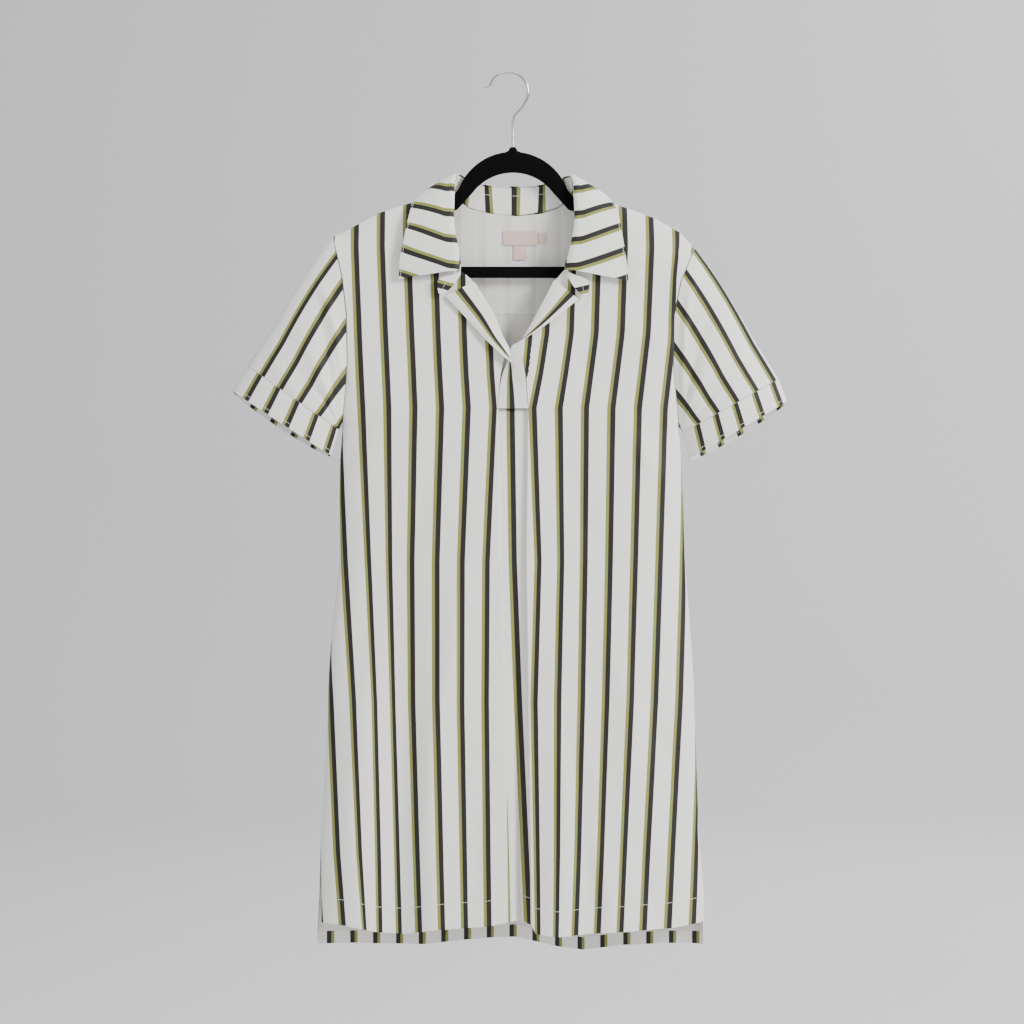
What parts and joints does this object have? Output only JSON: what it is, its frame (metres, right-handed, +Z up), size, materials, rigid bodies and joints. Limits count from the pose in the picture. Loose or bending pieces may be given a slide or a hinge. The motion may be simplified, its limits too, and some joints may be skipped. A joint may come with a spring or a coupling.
{
  "type": "shirt dress on a hanger",
  "caption": "Short-sleeved striped shirt dress with an open collar, half placket, centre pleat and side slits, hanging on a slim black hanger with a chrome hook",
  "frame": {"origin": "inside top of the hanger's hook, where it hangs from a rail", "axes": "+X to the right of someone facing the front of the dress, +Y away from them towards the back, +Z up"},
  "size_m": [0.6383, 0.08, 1.0169],
  "materials": {
    "cloth": "smooth satin-like cotton twill with narrow olive and charcoal stripes",
    "label": "pale pink woven tape",
    "flock": "matt black flock",
    "chrome": "polished wire"
  },
  "bodies": {
    "root": {"front": "cloth", "back": "cloth", "back_yoke": "cloth", "placket_left": "cloth", "placket_right": "cloth", "collar_stand": "cloth", "collar_leaf": "cloth", "sleeve_left": "cloth", "sleeve_right": "cloth", "cuff_left": "cloth", "cuff_right": "cloth", "label_main": "label", "label_size": "label", "label_care": "label", "hanger_body": "flock", "hanger_hook": "chrome"}
  },
  "joints": []
}
